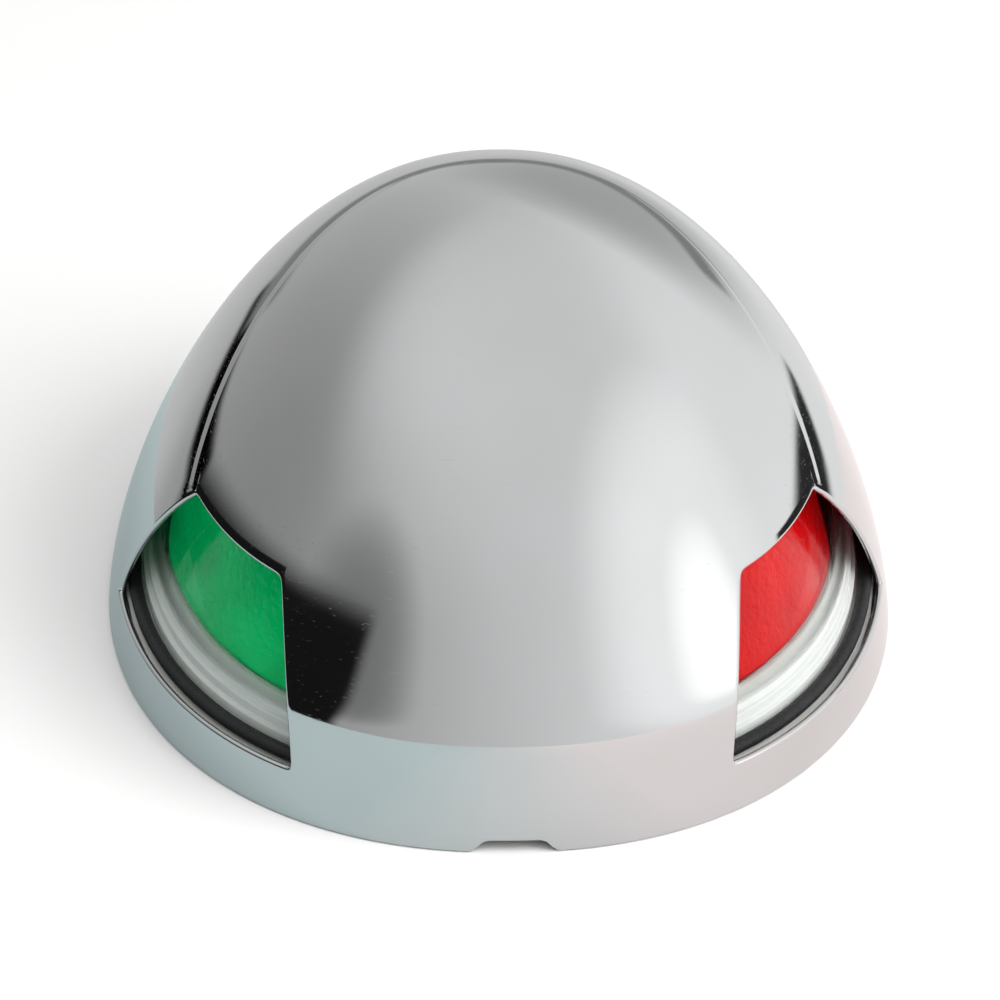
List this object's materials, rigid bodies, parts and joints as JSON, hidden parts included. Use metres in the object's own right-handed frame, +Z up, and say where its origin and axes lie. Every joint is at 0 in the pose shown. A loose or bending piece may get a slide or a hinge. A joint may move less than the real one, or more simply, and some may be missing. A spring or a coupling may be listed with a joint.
{
  "type": "navigation light",
  "caption": "Domed two-colour bow navigation light with a polished metal cover, side windows, a clear lens, colour filters and lamps on a deck base.",
  "frame": {"origin": "centre of the oval outline, on the deck face under the base", "axes": "+Z up off the deck, -Y forward to the bow, +X to port (the red side)"},
  "size_m": [0.096, 0.1068, 0.055],
  "materials": {
    "polished_stainless": "mirror polished pressed stainless sheet",
    "spring_stainless": "bright rolled or turned",
    "clear_plastic": "clear moulded polycarbonate",
    "green_plastic": "tinted moulded plastic, pebbled inside",
    "red_plastic": "tinted moulded plastic, pebbled inside",
    "black_rubber": "moulded, semi-matt",
    "white_plastic": "moulded, fine satin",
    "black_plastic": "moulded, satin",
    "bright_aluminium": "bright rolled sheet",
    "brass": "stamped, lightly tarnished",
    "bulb_glass": "clear blown glass",
    "tungsten": "drawn wire"
  },
  "bodies": {
    "base": {"base_moulding": "white_plastic", "base_gasket": "black_rubber", "cable_grommet": "black_rubber", "centre_screen": "black_plastic", "lens_seal": "black_rubber", "supply_strip": "brass", "return_strip": "brass", "supply_terminal_screw": "brass", "return_terminal_screw": "brass", "cover_clip_port": "spring_stainless", "cover_clip_starboard": "spring_stainless", "cover_clip_aft": "spring_stainless", "reflector_starboard": "bright_aluminium", "contact_fore_starboard": "brass", "contact_rivet_fore_starboard": "brass", "contact_aft_starboard": "brass", "contact_rivet_aft_starboard": "brass", "reflector_port": "bright_aluminium", "contact_fore_port": "brass", "contact_rivet_fore_port": "brass", "contact_aft_port": "brass", "contact_rivet_aft_port": "brass"},
    "cover": {"cover_shell": "polished_stainless"},
    "lens": {"clear_lens": "clear_plastic", "green_filter": "green_plastic", "red_filter": "red_plastic", "lens_screw": "spring_stainless", "lens_screw_washer": "black_rubber"},
    "bulb_starboard": {"bulb_glass_starboard": "bulb_glass", "bulb_filament_starboard": "tungsten", "bulb_cap_fore_starboard": "spring_stainless", "bulb_cap_aft_starboard": "spring_stainless"},
    "bulb_port": {"bulb_glass_port": "bulb_glass", "bulb_filament_port": "tungsten", "bulb_cap_fore_port": "spring_stainless", "bulb_cap_aft_port": "spring_stainless"}
  },
  "joints": [
    {"name": "cover_lift", "type": "slide", "parent": "base", "child": "cover", "axis": [0, 0, 1], "range_m": [0, 0.09]},
    {"name": "lens_lift", "type": "slide", "parent": "base", "child": "lens", "axis": [0, 0, 1], "range_m": [0, 0.045]},
    {"name": "bulb_starboard_lift", "type": "slide", "parent": "base", "child": "bulb_starboard", "axis": [0, 0, 1], "range_m": [0, 0.0225]},
    {"name": "bulb_port_lift", "type": "slide", "parent": "base", "child": "bulb_port", "axis": [0, 0, 1], "range_m": [0, 0.0225]}
  ],
  "couplings": [
    {"joint": "lens_lift", "follows": "cover_lift", "ratio": 0.5},
    {"joint": "bulb_starboard_lift", "follows": "cover_lift", "ratio": 0.25},
    {"joint": "bulb_port_lift", "follows": "cover_lift", "ratio": 0.25}
  ]
}
